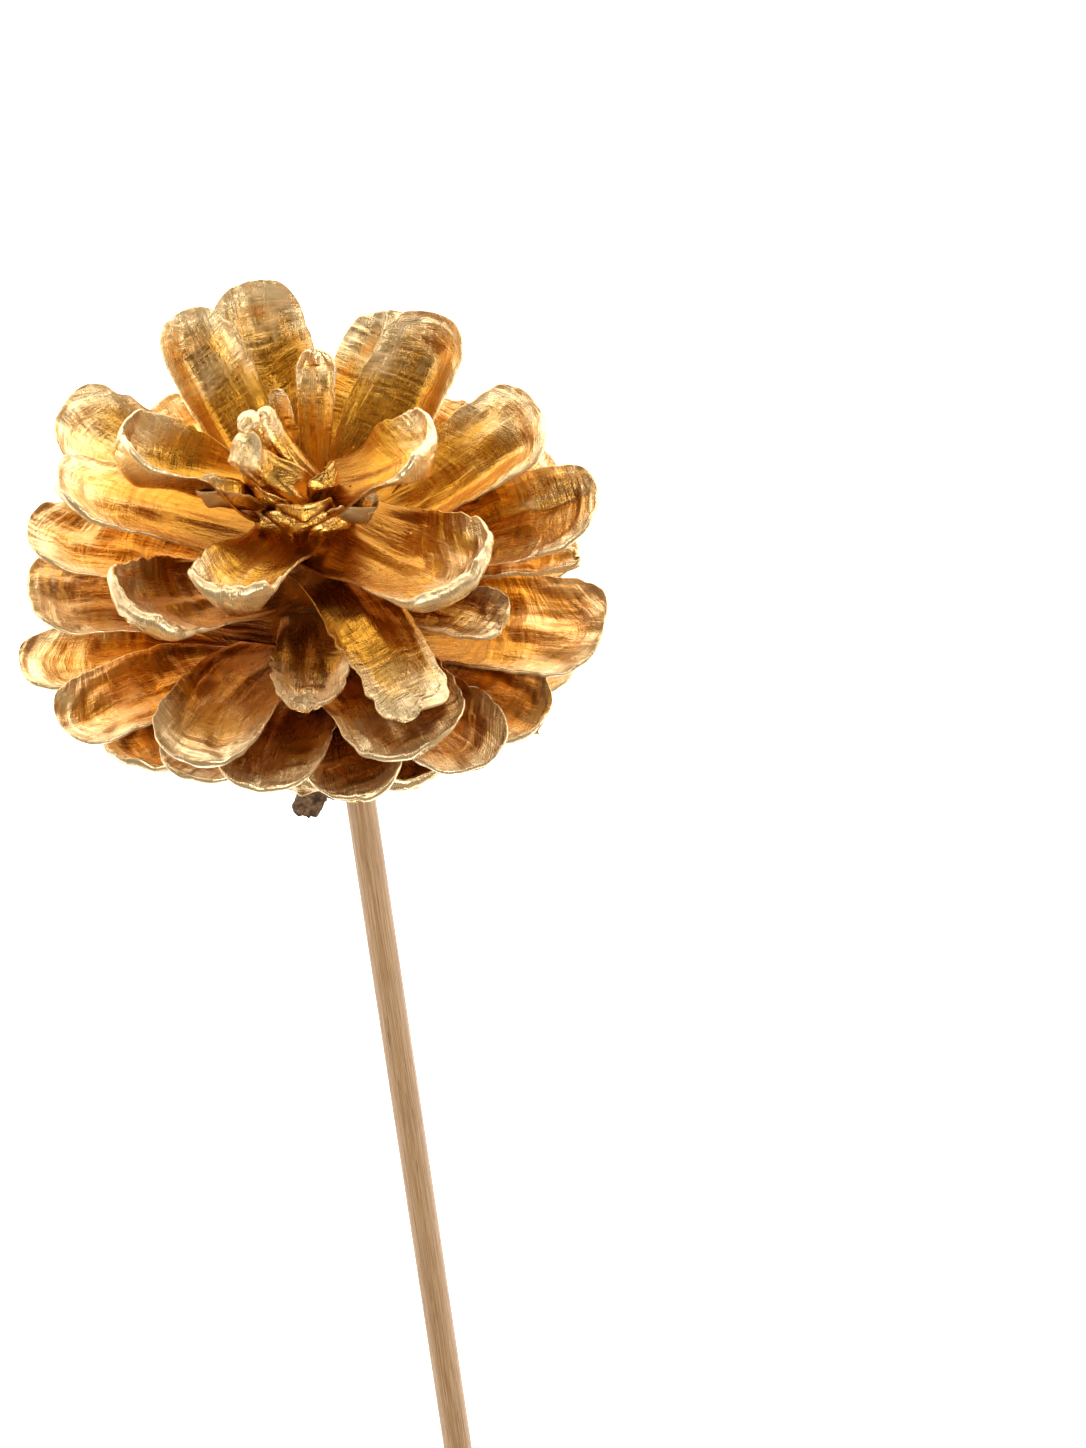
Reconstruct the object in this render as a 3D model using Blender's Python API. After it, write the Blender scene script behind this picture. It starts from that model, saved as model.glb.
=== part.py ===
"""An open pine cone, painted gold, on a bamboo stick. It lies on its side.

The cone is worked out in its own axes: its base at the origin, its tip up the +Z axis, and azimuths that
turn from +X towards +Y. An empty then lays it down on its scale tips and on the far end of the stick, with
azimuth 0 uppermost and the tip of the cone towards the world's +Y. Sizes are in millimetres until MM turns
them into Blender's metres.
"""

import math

import bmesh
import bpy
import numpy as np
from mathutils import Matrix, Vector

MM = 0.001
GAP = 0.3

# The woody axis that carries the scales: height and radius of its outline
CORE_OUTLINE = ((-2.0, 4.1), (-1.2, 4.7), (2.0, 5.0), (10.0, 5.6), (30.0, 4.8), (42.0, 3.4), (50.0, 2.2))
CORE_SIDES = 20

# The stick: beside the cone's own axis, pushed up into a hole in the core
STICK_RADIUS = 2.0
STICK_LENGTH = 200.0
STICK_INSERTED = 25.0
STICK_OFFSET = (0.0, 1.2)
STICK_SIDES = 16
STICK_BEVEL = 0.25

# The rough stump of the cone's own stalk, beside the stick
STALK_FOOT = (0.0, -3.9, -2.3)
STALK_END = (0.6, -5.6, -5.6)
STALK_RADIUS = 2.1
STALK_SIDES = 12

# The shape that all scales share
ROOT_WIDTH = 2.6
THICKNESS = 1.0
TIP_SWELL = 1.3
TIP_LIFT = 1.0
CURL = 8.0
WIDEST = 0.76
STATIONS = (0.0, 0.16, 0.36, 0.56, 0.74, 0.88, 0.97, 1.0)
ACROSS = 5

# Tiers of scales from the tip of the cone down. Each tier has its usual lean above the horizontal, length
# and width, then the height and azimuth of each scale's root.
TIERS = (
    dict(lean=34, length=14, width=8,
         roots=((48, 75), (46.5, -94), (46.5, 33), (47.5, -62), (46, -168), (44, 166))),
    dict(lean=27, length=29, width=12,
         roots=((45, -28), (43.5, 44), (40, -152), (40.5, -90), (38.5, 140), (38.5, -115), (39, 99),
                (36.5, -171), (36, 80), (35.5, -57))),
    dict(lean=20, length=31.5, width=12,
         roots=((31.5, -5), (32, 158), (32, -94), (38.5, 19), (30, 48), (31, 72), (30, 133), (28, -151),
                (28, -83), (29, -124))),
    dict(lean=16, length=32, width=13,
         roots=((26, -32), (25, 67), (24.5, 20), (22, 95), (24, 173), (20, -64), (22, -112), (26, 115),
                (20, 130), (20, -146))),
    dict(lean=18, length=31, width=13,
         roots=((19.5, -16), (18.5, 29), (15, 6), (17, -89), (16.5, -35), (15.5, 47), (16, 155), (13.5, 76),
                (13, -172), (13, -120))),
    dict(lean=35, length=15, width=9,
         roots=((12, -60), (11, 21), (9, 110), (7, -90), (7, 158), (6, -148), (5, 64), (6, -18),
                (4, 132), (3, -118))),
)

# Scales that differ from their tier, by number
ODD_SCALES = {
    1: dict(lean=27, length=16, width=9.5, cup=2.5),
    2: dict(lean=27, length=21, width=9, cup=2.5),
    3: dict(lean=24, length=9, width=5),
    4: dict(lean=22, length=11, width=4),
    5: dict(lean=58, length=12, width=3.2, cup=0.3),
    6: dict(lean=48, length=17.5, width=4.2, cup=0.3),
    7: dict(lean=12, length=20.5, width=11.5, cup=2.5, swell=1.8),
    8: dict(lean=8, length=24, width=15, cup=2.6, sweep=-0.5, twist=5, swell=1.8),
    9: dict(lean=29, length=29.5, width=10, cup=2.0, sweep=-0.8),
    10: dict(width=11.5),
    11: dict(cup=2.2),
    12: dict(lean=28.5, length=31, width=13, twist=-5),
    13: dict(lean=23, length=28.5, width=14, cup=2.0, twist=5),
    14: dict(lean=31, length=32.5, sweep=-0.8),
    15: dict(lean=18, length=33, width=13.5, sweep=-0.7, twist=8),
    16: dict(lean=23, length=25, width=14, cup=2.2, twist=-8, swell=1.8),
    17: dict(lean=11, length=20.5, width=10),
    18: dict(lean=27, length=32, width=10),
    20: dict(lean=1.5, length=30, width=9.5, cup=-1.0),
    21: dict(lean=22, length=26, width=9),
    22: dict(lean=18, length=30, width=4.5, cup=0.0),
    23: dict(length=25.5),
    24: dict(length=30),
    25: dict(length=32, width=14, twist=-4),
    27: dict(width=13.5, sweep=2.0, twist=6),
    28: dict(lean=10, width=15, twist=8),
    29: dict(lean=18, width=15.5, sweep=-2.0),
    30: dict(length=28, width=11),
    32: dict(lean=14, width=12.5),
    34: dict(length=29),
    37: dict(lean=21),
    38: dict(lean=18, length=32, width=13),
    39: dict(lean=23, length=29.5, width=12, sweep=-1.0),
    40: dict(lean=12, length=33, width=11),
    41: dict(lean=22, length=28.5),
    42: dict(lean=19, length=30),
    44: dict(lean=14, length=26.5),
    47: dict(lean=22, length=28, width=12),
    48: dict(lean=26, length=25, width=12),
}

# The bud of undeveloped scales at the tip of the cone: place and radius of each knob
BUD_FOOT = 50.3
BUD_KNOBS = (
    (Vector((0.0, -1.4, 52.4)), 2.2),
    (Vector((-0.4, -4.4, 54.6)), 2.4),
    (Vector((-0.8, -7.0, 55.8)), 1.9),
    (Vector((-2.4, -5.6, 57.6)), 1.8),
    (Vector((-2.5, -3.2, 57.3)), 1.8),
)

# How the cone lies: the azimuth that faces up and the rise of its tip
UPPERMOST_AZIMUTH = -5.4
LYING_RISE = 9.3

GOLD = (0.72, 0.47, 0.16)
BARK = (0.16, 0.085, 0.04)
BAMBOO = (0.62, 0.42, 0.25)


def clear_scene():
    """Removes whatever the file holds."""
    for thing in list(bpy.data.objects):
        bpy.data.objects.remove(thing, do_unlink=True)


def make_material(name, colour, roughness, metallic=0.0):
    """A Principled material of one colour."""
    material = bpy.data.materials.new(name)
    material.use_nodes = True
    shader = material.node_tree.nodes["Principled BSDF"]
    shader.inputs["Base Color"].default_value = (*colour, 1.0)
    shader.inputs["Roughness"].default_value = roughness
    shader.inputs["Metallic"].default_value = metallic
    material.diffuse_color = (*colour, 1.0)
    return material


def add_object(name, bm, material, parent):
    """Turns a bmesh in millimetres into a named, smooth-shaded object in metres."""
    bmesh.ops.recalc_face_normals(bm, faces=bm.faces)
    bmesh.ops.scale(bm, vec=(MM, MM, MM), verts=bm.verts)
    mesh = bpy.data.meshes.new(name)
    bm.to_mesh(mesh)
    bm.free()
    mesh.shade_smooth()
    mesh.set_sharp_from_angle(angle=math.radians(35))
    mesh.materials.append(material)
    thing = bpy.data.objects.new(name, mesh)
    bpy.context.scene.collection.objects.link(thing)
    thing.parent = parent
    return thing


def loft(rings):
    """A closed body through rings of points, each ring with the same number of points in the same order."""
    bm = bmesh.new()
    loops = [[bm.verts.new(point) for point in ring] for ring in rings]
    count = len(loops[0])
    for lower, upper in zip(loops, loops[1:]):
        for i in range(count):
            j = (i + 1) % count
            bm.faces.new((lower[i], lower[j], upper[j], upper[i]))
    half = count // 2
    for loop in (loops[0], loops[-1]):
        for i in range(half - 1):
            bm.faces.new((loop[i], loop[i + 1], loop[count - 2 - i], loop[count - 1 - i]))
    return bm


def lathe(outline, sides, centre=(0.0, 0.0)):
    """A closed body turned about a vertical axis from heights and radii."""
    turns = np.arange(sides) * 2 * math.pi / sides
    rings = []
    for height, radius in outline:
        x = centre[0] + radius * np.cos(turns)
        y = centre[1] + radius * np.sin(turns)
        rings.append(np.column_stack((x, y, np.full(sides, height))))
    return loft(rings)


def ease(start, end, value):
    """0 before start, 1 after end, with a smooth rise between."""
    t = np.clip((value - start) / (end - start), 0.0, 1.0)
    return t * t * (3.0 - 2.0 * t)


def core_radius(height):
    """Radius of the core at a height."""
    heights, radii = zip(*CORE_OUTLINE)
    return float(np.interp(height, heights, radii))


def centre_line(along, lean, length):
    """Distance out and up along a scale's middle, for a line whose slope grows evenly by CURL."""
    fine = np.linspace(0.0, 1.0, 61)
    slope = np.radians(lean + CURL * (fine - 0.5))
    step = length / 60.0
    out = np.concatenate(([0.0], np.cumsum((np.cos(slope[1:]) + np.cos(slope[:-1])) * step / 2)))
    rise = np.concatenate(([0.0], np.cumsum((np.sin(slope[1:]) + np.sin(slope[:-1])) * step / 2)))
    return np.interp(along, fine, out), np.interp(along, fine, rise)


def scale_rings(height, azimuth, lean, length, width, cup=1.2, sweep=0.0, twist=0.0, swell=TIP_SWELL):
    """Cross-sections of one scale from its root to its tip.

    A scale is a strap that widens to WIDEST of its length and ends round. Its edges rise by cup, its tip
    turns up and thickens by swell, sweep carries its tip sideways and twist turns it about its length.
    """
    along = np.array(STATIONS)[:, None]
    across = np.linspace(-1.0, 1.0, ACROSS)[None, :]
    out, rise = centre_line(along, lean, length)
    slope = np.radians(lean + CURL * (along - 0.5))
    rounding = np.clip((along - WIDEST) / (1.0 - WIDEST), 0.0, 1.0)
    half_width = 0.5 * (ROOT_WIDTH + (width - ROOT_WIDTH) * ease(-0.05, WIDEST, along))
    half_width = half_width * np.sqrt(np.maximum(1.0 - rounding**2.6, 0.06))
    side = across * half_width
    top = cup * ease(0.1, 0.6, along) * (2.0 * side / width) ** 2 + TIP_LIFT * ease(0.8, 1.02, along) ** 1.5
    thick = THICKNESS * (1.0 - 0.4 * across**2)
    thick = thick + swell * (ease(0.66, 0.9, along) - 0.5 * ease(0.94, 1.0, along)) * (1.0 - 0.35 * across**2)
    turn = np.radians(twist) * along
    start = core_radius(height) + GAP
    bearing = math.radians(azimuth)
    faces = []
    for up in (top, top - thick):
        shifted = side * np.cos(turn) - up * np.sin(turn) + sweep * along**2
        raised = side * np.sin(turn) + up * np.cos(turn)
        radius = start + out - raised * np.sin(slope)
        level = height + rise + raised * np.cos(slope)
        x = radius * math.cos(bearing) - shifted * math.sin(bearing)
        y = radius * math.sin(bearing) + shifted * math.cos(bearing)
        faces.append(np.stack((x, y, level), axis=-1))
    return np.concatenate((faces[0], faces[1][:, ::-1]), axis=1)


def add_scales(gold, parent):
    """Every scale, tier by tier."""
    number = 0
    for tier in TIERS:
        usual = {key: tier[key] for key in ("lean", "length", "width")}
        for height, azimuth in tier["roots"]:
            number += 1
            shape = {**usual, **ODD_SCALES.get(number, {})}
            rings = scale_rings(height, azimuth, **shape)
            add_object(f"scale_{number:02d}", loft(rings), gold, parent)


def add_core(wood, parent):
    """The woody axis, with the hole that takes the stick."""
    core = add_object("core", lathe(CORE_OUTLINE, CORE_SIDES), wood, parent)
    hole_end = STICK_INSERTED + CORE_OUTLINE[0][0] + GAP
    hole_outline = ((CORE_OUTLINE[0][0] - 5.0, STICK_RADIUS + GAP), (hole_end, STICK_RADIUS + GAP))
    cutter = add_object("core_hole", lathe(hole_outline, STICK_SIDES, STICK_OFFSET), wood, parent)
    cutter.hide_render = True
    cutter.display_type = "WIRE"
    cut = core.modifiers.new("hole", "BOOLEAN")
    cut.operation = "DIFFERENCE"
    cut.solver = "EXACT"
    cut.object = cutter


def add_stick(bamboo, parent):
    """A round stick with slightly broken edges."""
    top = STICK_INSERTED + CORE_OUTLINE[0][0]
    bottom = top - STICK_LENGTH
    inner = STICK_RADIUS - STICK_BEVEL
    outline = (
        (bottom, inner),
        (bottom + STICK_BEVEL, STICK_RADIUS),
        (top - STICK_BEVEL, STICK_RADIUS),
        (top, inner),
    )
    add_object("stick", lathe(outline, STICK_SIDES, STICK_OFFSET), bamboo, parent)


def add_stalk(bark, parent):
    """The broken stump of the stalk: a leaning taper with a lumpy outline and a slanting end."""
    turns = np.arange(STALK_SIDES) * 2 * math.pi / STALK_SIDES
    foot = np.array(STALK_FOOT)
    end = np.array(STALK_END)
    rings = []
    for along in (0.0, 0.35, 0.7, 1.0):
        radius = STALK_RADIUS * (1.0 - 0.15 * along + 0.08 * np.cos(3 * turns + 4 * along))
        centre = foot + (end - foot) * along
        slant = 0.35 * along * np.cos(turns)
        rings.append(np.column_stack((centre[0] + radius * np.cos(turns),
                                      centre[1] + radius * np.sin(turns), centre[2] + slant)))
    add_object("stalk_stump", loft(rings), bark, parent)


def add_bud(gold, parent):
    """The bud of undeveloped scales at the tip: small knobs joined into one body."""
    bud = None
    for index, (centre, radius) in enumerate(BUD_KNOBS):
        bm = bmesh.new()
        bmesh.ops.create_icosphere(bm, subdivisions=2, radius=radius)
        bmesh.ops.translate(bm, vec=centre, verts=bm.verts)
        for vert in bm.verts:
            vert.co.z = max(vert.co.z, BUD_FOOT)
        name = "apex_bud" if bud is None else f"bud_knob_{index}"
        knob = add_object(name, bm, gold, parent)
        if bud is None:
            bud = knob
            continue
        knob.hide_render = True
        knob.display_type = "WIRE"
        join = bud.modifiers.new(name, "BOOLEAN")
        join.operation = "UNION"
        join.solver = "EXACT"
        join.object = knob


def lay_down():
    """The empty that carries the cone: azimuth 0 up, the cone's tip to +Y, then the roll and the rise."""
    pose = bpy.data.objects.new("lying", None)
    bpy.context.scene.collection.objects.link(pose)
    roll = Matrix.Rotation(math.radians(-UPPERMOST_AZIMUTH), 3, "Z")
    on_side = Matrix(((0, 1, 0), (0, 0, 1), (1, 0, 0)))
    rise = Matrix.Rotation(math.radians(LYING_RISE), 3, "X")
    pose.matrix_world = (rise @ on_side @ roll).to_4x4()
    return pose


def put_on_ground(pose):
    """Moves the whole cone so that the bottom centre of its box is the origin."""
    bpy.context.view_layer.update()
    corners = [
        thing.matrix_world @ vertex.co
        for thing in bpy.data.objects
        if thing.type == "MESH" and not thing.hide_render
        for vertex in thing.data.vertices
    ]
    low = [min(corner[axis] for corner in corners) for axis in range(3)]
    high = [max(corner[axis] for corner in corners) for axis in range(3)]
    pose.location = (-(low[0] + high[0]) / 2, -(low[1] + high[1]) / 2, -low[2])
    bpy.context.view_layer.update()


def main():
    """Builds every piece of the cone."""
    clear_scene()
    gold = make_material("gold_paint", GOLD, 0.35, metallic=0.9)
    wood = make_material("core_wood", BARK, 0.8)
    bark = make_material("stalk_bark", BARK, 0.9)
    bamboo = make_material("bamboo", BAMBOO, 0.55)
    pose = lay_down()
    add_core(wood, pose)
    add_scales(gold, pose)
    add_bud(gold, pose)
    add_stick(bamboo, pose)
    add_stalk(bark, pose)
    put_on_ground(pose)


main()
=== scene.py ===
"""The looks of an open pine cone, painted gold, on a bamboo stick.

The cone is worked out in its own axes, in millimetres: its base at the origin, its tip up the third axis,
and azimuths that turn from the first axis towards the second. Laying it down turns it onto its side, with
azimuth 0 nearly uppermost and its tip towards +Y. Every scale is one closed surface with its own wrinkles,
hollow and lip.
"""

import math

import bpy
import numpy as np
from mathutils import Matrix, Vector


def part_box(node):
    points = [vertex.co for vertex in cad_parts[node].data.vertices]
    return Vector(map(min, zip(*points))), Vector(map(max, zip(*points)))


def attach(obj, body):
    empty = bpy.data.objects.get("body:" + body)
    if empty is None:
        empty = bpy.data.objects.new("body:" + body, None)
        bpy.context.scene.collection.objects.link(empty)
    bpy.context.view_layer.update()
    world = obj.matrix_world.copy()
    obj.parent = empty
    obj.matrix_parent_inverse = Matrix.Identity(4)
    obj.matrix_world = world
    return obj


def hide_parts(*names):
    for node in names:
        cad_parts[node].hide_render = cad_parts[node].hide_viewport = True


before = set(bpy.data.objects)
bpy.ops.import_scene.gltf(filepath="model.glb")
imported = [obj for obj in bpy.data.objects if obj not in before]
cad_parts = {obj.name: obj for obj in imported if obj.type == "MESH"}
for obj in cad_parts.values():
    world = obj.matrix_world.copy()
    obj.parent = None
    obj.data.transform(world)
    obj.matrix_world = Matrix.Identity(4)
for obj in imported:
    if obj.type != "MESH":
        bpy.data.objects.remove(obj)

bl_info = {
    "name": "Gilded pine cone",
    "version": (1, 0, 0),
    "blender": (4, 5, 0),
    "location": "3D View > Sidebar > Pine cone",
    "description": "Adds an open pine cone, painted gold, on its bamboo stick",
    "category": "Add Mesh",
}

MM = 0.001

# The woody axis that carries the scales: height and radius of its outline
CORE_OUTLINE = ((-2.0, 4.1), (-1.2, 4.7), (2.0, 5.0), (10.0, 5.6), (30.0, 4.8), (42.0, 3.4), (50.0, 2.2))
CORE_TOP = 48.5

# The stick: beside the cone's own axis, pushed up into a hole in the core
STICK_RADIUS = 2.0
STICK_LENGTH = 200.0
STICK_TOP = 23.0
STICK_OFFSET = (0.0, 1.2)
STICK_BEVEL = 0.2
STICK_FLATTENING = 0.04

# The rough stump of the cone's own stalk, beside the stick
STALK_FOOT = (0.0, -3.9, -2.0)
STALK_END = (0.6, -5.6, -5.9)
STALK_RADIUS = 2.0

# How the cone lies: the azimuth that faces up and the rise of its tip
UPPERMOST_AZIMUTH = -5.4
LYING_RISE = 9.3

# The pool of light in the floor: its middle and how far out it fades away, in millimetres, and the two places
# between the rim (0) and the middle (1) of it where it starts and where it is full
GLOW_MIDDLE = (0.0, 85.0, 0.0)
GLOW_REACH = 400.0
GLOW_STARTS = 0.08
GLOW_FULL = 0.72
# From the middle of the floor to its sides, in metres
FLOOR_REACH = 3.0

# The soft lights: how far right, up and back each one stands from its target and its size, all in metres, and
# its power
SOFTBOXES = {
    "left softbox": ((-0.6, 0.1, 0.45), 0.3, 1.4),
    "right softbox": ((0.55, 0.05, 0.5), 0.25, 1.1),
    "front softbox": ((0.05, -0.5, 0.45), 0.3, 2.4),
    "wide softbox": ((-0.1, -0.35, 0.9), 0.8, 1.15),
}
# How far in front of the cone's base the lights are aimed, in metres
TARGET_FORWARD = 0.02

# A scale's root starts this far outside the core and is sunk back into it
GAP = 0.3
ROOT_SUNK = 1.3
# Width of the root as a share of the full width, and the place along the scale where the tip starts to round
ROOT_SHARE = 0.78
WIDEST = 0.76
# How square the round of the tip is, where 2 is an ellipse, and how far round it the last ring stands
TIP_SQUARENESS = 2.6
TIP_TURN = math.radians(88.0)
# A scale's thickness, how much thicker its tip is and how far the tip turns up
THICKNESS = 0.9
TIP_SWELL = 0.5
TIP_LIFT = 1.2
# How far the outer face falls back below the rim, and how much of the inner face's detail shows on it
UNDERCUT = 0.3
DETAIL_BELOW = 0.3
# Scales narrower than these have a narrower pale border and a fainter pale rim, both painted highlights
BORDER_WIDTH = 12.0
RIM_WIDTH = 9.0

# How finely a scale is cut up: points on each edge wall, the fewest stations along the strap and round its
# tip, the fewest pairs of columns across it, how much wider columns are than stations, and how strongly they
# crowd towards the edges
WALL_COLUMNS = 8
FEWEST_STATIONS = 12
FEWEST_TIP_STATIONS = 14
FEWEST_COLUMNS = 7
COLUMN_SPREAD = 1.6
EDGE_CROWDING = 0.4

# Heights on the inner face (hollow, ridge, raised rim) and on the outer face (keel, boss), in millimetres,
# and how far along the scale the keel and the boss sit
HOLLOW_DEPTH = 0.3
RIDGE_HEIGHT = 0.3
RIM_HEIGHT = 0.22
KEEL_HEIGHT = 0.3
BOSS_HEIGHT = 0.4
BOSS_PLACE = 0.84

# Layers of unevenness of a scale. Each has its strength, in millimetres or as a share of what it changes, and
# its fineness: lattice steps per unit of each of the two distances that it is read at.
LAYERS = {
    "lip": (0.9, 0.9, 20.0),
    "wave": (0.45, 0.12, 0.09),
    "border": (0.6, 0.35, 0.35),
    "bend": (1.1, 0.16, 0.13),
    "patch": (1.0, 0.2, 0.12),
    "grain": (1.0, 1.05, 0.11),
    "fine grain": (1.0, 2.3, 0.22),
    "dents": (1.0, 0.42, 0.36),
    "creases": (0.14, 6.0, 0.25),
    "folds": (1.0, 0.16, 0.75),
    "finer folds": (0.5, 0.35, 1.5),
    "ribs": (0.12, 0.9, 0.07),
    "fine ribs": (0.05, 2.0, 0.2),
    "outer dents": (0.18, 0.4, 0.4),
}

# What starts each piece's random numbers; for a scale it is the scale's own number
BUD_SCALE_SEED = 61
FINGER_SEED = 81
CORE_SEED = 77
STICK_SEED = 55
STUMP_SEED = 33

# Tiers of scales from the tip of the cone down. Each tier has its usual lean above the horizontal, length,
# width and curl (how far its slope grows from root to tip; a scale with a negative one droops), then the
# height and azimuth of each scale's root.
TIERS = (
    dict(lean=34, length=14, width=8, curl=8,
         roots=((48, 75), (46.5, -94), (46.5, 33), (47.5, -62), (46, -168), (44, 166))),
    dict(lean=27, length=29, width=12, curl=10,
         roots=((45, -28), (43.5, 44), (40, -152), (40.5, -90), (38.5, 140), (38.5, -115), (39, 99),
                (36.5, -171), (36, 80), (35.5, -57))),
    dict(lean=20, length=31.5, width=12, curl=-24,
         roots=((31.5, -5), (32, 158), (32, -94), (38.5, 19), (30, 48), (31, 72), (30, 133), (28, -151),
                (28, -83), (29, -124))),
    dict(lean=16, length=32, width=13, curl=-24,
         roots=((26, -32), (25, 67), (24.5, 20), (22, 95), (24, 173), (20, -64), (22, -112), (26, 115),
                (20, 130), (20, -146))),
    dict(lean=18, length=31, width=13, curl=-26,
         roots=((19.5, -16), (18.5, 29), (15, 6), (17, -89), (16.5, -35), (15.5, 47), (16, 155), (13.5, 76),
                (13, -172), (13, -120))),
    dict(lean=35, length=15, width=9, curl=-10,
         roots=((12, -60), (11, 21), (9, 110), (7, -90), (7, 158), (6, -148), (5, 64), (6, -18),
                (4, 132), (3, -118))),
)

# Scales that differ from their tier, by number. Beside the tier's own values, cup is how far the edges rise
# above the middle, edges how much further the left and the right one stand up, lip how far the tip turns up,
# swell how much thicker it is, torn how far it is broken back, square how square its round is and root the
# root's share of the width. Sweep carries the tip sideways, twist turns it about the scale's own length,
# trough is a lengthwise valley (its place across, depth and breadth) and rough how strong the wrinkles are.
ODD_SCALES = {
    1: dict(lean=27, length=16, width=11.5, cup=3.0, lip=2.2, swell=1.4, root=0.9),
    2: dict(lean=25, length=21, width=11, cup=2.8, lip=2.0, edges=(0.8, 2.4), swell=1.3, torn=0.6,
            root=0.8),
    3: dict(lean=14, length=6.5, width=4.4, cup=2.0, sweep=4.0, swell=-0.3, lip=0.2, root=0.9, square=2.0,
            rough=0.4),
    4: dict(lean=24, length=11, width=3.6, cup=2.2, sweep=-3.4, swell=-0.3, lip=0.4, root=0.9, square=2.0,
            rough=0.5),
    5: dict(lean=58, length=12, width=2.6, cup=0.1, lip=0.0, swell=-0.2),
    6: dict(lean=48, length=17.5, width=4.6, cup=0.5, torn=0.8, swell=0.9, root=0.6, square=3.2),
    7: dict(lean=12, length=20.5, width=11.2, cup=3.2, swell=1.6, lip=2.6, root=0.75),
    8: dict(lean=8, length=24, width=15, cup=2.6, sweep=-0.5, twist=5, swell=1.8, lip=2.0, root=0.9),
    9: dict(lean=29, length=29.5, width=10, cup=2.0, sweep=-0.8, trough=(0.25, 1.2, 0.45)),
    10: dict(width=11.5),
    11: dict(cup=2.2, trough=(-0.2, 1.3, 0.5)),
    12: dict(lean=28.5, length=31, width=13, twist=-5),
    13: dict(lean=23, length=28.5, width=14, cup=2.0, twist=5, trough=(-0.2, 1.4, 0.35)),
    14: dict(lean=31, length=32.5, sweep=-0.8),
    15: dict(lean=18, length=33, width=13.5, sweep=-0.7, twist=8, trough=(0.35, 0.9, 0.2)),
    16: dict(lean=23, length=25, width=14, cup=2.2, twist=-8, swell=1.8, lip=2.0),
    17: dict(lean=13, length=20, width=9.5, cup=1.3, torn=1.6, root=0.95, square=3.0, swell=0.0, lip=-0.6),
    18: dict(lean=27, length=32, width=10),
    20: dict(lean=1.5, length=30, width=9.5, curl=-50, cup=-1.6, torn=1.8, root=0.95, square=4.0, swell=0.0,
             lip=0.0),
    21: dict(lean=22, length=26, width=9, torn=1.0, root=0.9, square=3.2, swell=0.2, lip=0.4),
    22: dict(lean=18, length=30, width=4.5, cup=0.0, torn=1.2, root=0.95, square=3.2, swell=0.2, lip=0.0),
    23: dict(length=25.5),
    24: dict(length=30),
    25: dict(length=32, width=14, twist=-4),
    27: dict(width=13.5, sweep=2.0, twist=6, curl=-44, lip=0.5),
    28: dict(lean=10, width=15, twist=8, trough=(0.3, 0.5, 0.2)),
    29: dict(lean=18, width=15.5, sweep=-2.0, curl=-48, lip=0.5),
    30: dict(length=28, width=11),
    32: dict(lean=14, width=12.5, curl=-40, lip=0.5),
    34: dict(length=29),
    37: dict(lean=21, curl=-50, lip=0.5),
    38: dict(lean=18, length=32, width=13, curl=-46, lip=0.5),
    39: dict(lean=23, length=29.5, width=12, sweep=-1.0, curl=-52, lip=0.5),
    40: dict(lean=12, length=33, width=11),
    41: dict(lean=22, length=28.5, curl=-50, lip=0.5),
    42: dict(lean=19, length=30, torn=0.8, curl=-46, lip=0.5),
    44: dict(lean=14, length=26.5),
    47: dict(lean=22, length=28, width=12),
    48: dict(lean=26, length=25, width=12),
}

# The bud at the tip of the cone: small scales that never opened
BUD_SCALES = (
    dict(height=47.0, azimuth=-55, lean=58, length=5.5, width=6.5, swell=-0.2),
    dict(height=46.5, azimuth=-2, lean=52, length=6.0, width=7.0, swell=-0.2),
    dict(height=47.2, azimuth=45, lean=72, length=6.0, width=5.0, swell=-0.4),
    dict(height=47.0, azimuth=-95, lean=50, length=6.0, width=6.0, swell=-0.2),
    dict(height=43.4, azimuth=-12, lean=62, length=6.5, width=7.5, swell=-0.2),
    dict(height=42.6, azimuth=-55, lean=58, length=6.0, width=7.0, swell=-0.2),
    dict(height=42.8, azimuth=38, lean=58, length=6.0, width=7.5, swell=-0.2),
)
BUD_USUAL = dict(curl=8.0, cup=0.8, lip=0.2, root=0.95, rough=0.3, torn=0.05)
# Fingers of the bud: their middle lines, with the radius at each point, from the root to the lumpy end
BUD_FINGERS = (
    ((0.8, -0.8, 46.0, 3.8), (0.8, -2.2, 49.6, 3.3), (0.4, -4.3, 52.4, 2.2), (-0.2, -6.0, 54.8, 2.4),
     (-0.5, -7.3, 56.4, 1.9)),
    ((-1.0, -0.6, 47.5, 1.9), (-1.6, -3.0, 52.0, 1.4), (-2.0, -4.3, 55.2, 1.2), (-2.4, -5.1, 57.0, 1.65),
     (-2.6, -5.5, 58.4, 1.4)),
    ((0.4, -0.2, 46.0, 2.8), (-0.6, -0.8, 49.5, 2.4), (-1.8, -2.2, 53.5, 1.6), (-2.6, -3.3, 57.0, 1.3),
     (-2.8, -3.8, 58.3, 1.1)),
)


# Shaping ---------------------------------------------------------------------------------------------


def ease(start, end, value):
    """0 before start, 1 after end, with a smooth rise between."""
    t = np.clip((value - start) / (end - start), 0.0, 1.0)
    return t * t * (3.0 - 2.0 * t)


def hump(place, breadth, value):
    """1 at place, falling off on both sides like a bell curve of that breadth."""
    return np.exp(-(((value - place) / breadth) ** 2))


def ring_turns(count):
    """Angles of the points round a ring."""
    return np.linspace(0.0, 2 * math.pi, count, endpoint=False)[None, :]


def from_seam(turns):
    """How far round its ring a point is from where the ring's unevenness starts and ends."""
    return np.minimum(turns, 2 * math.pi - turns)


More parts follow.
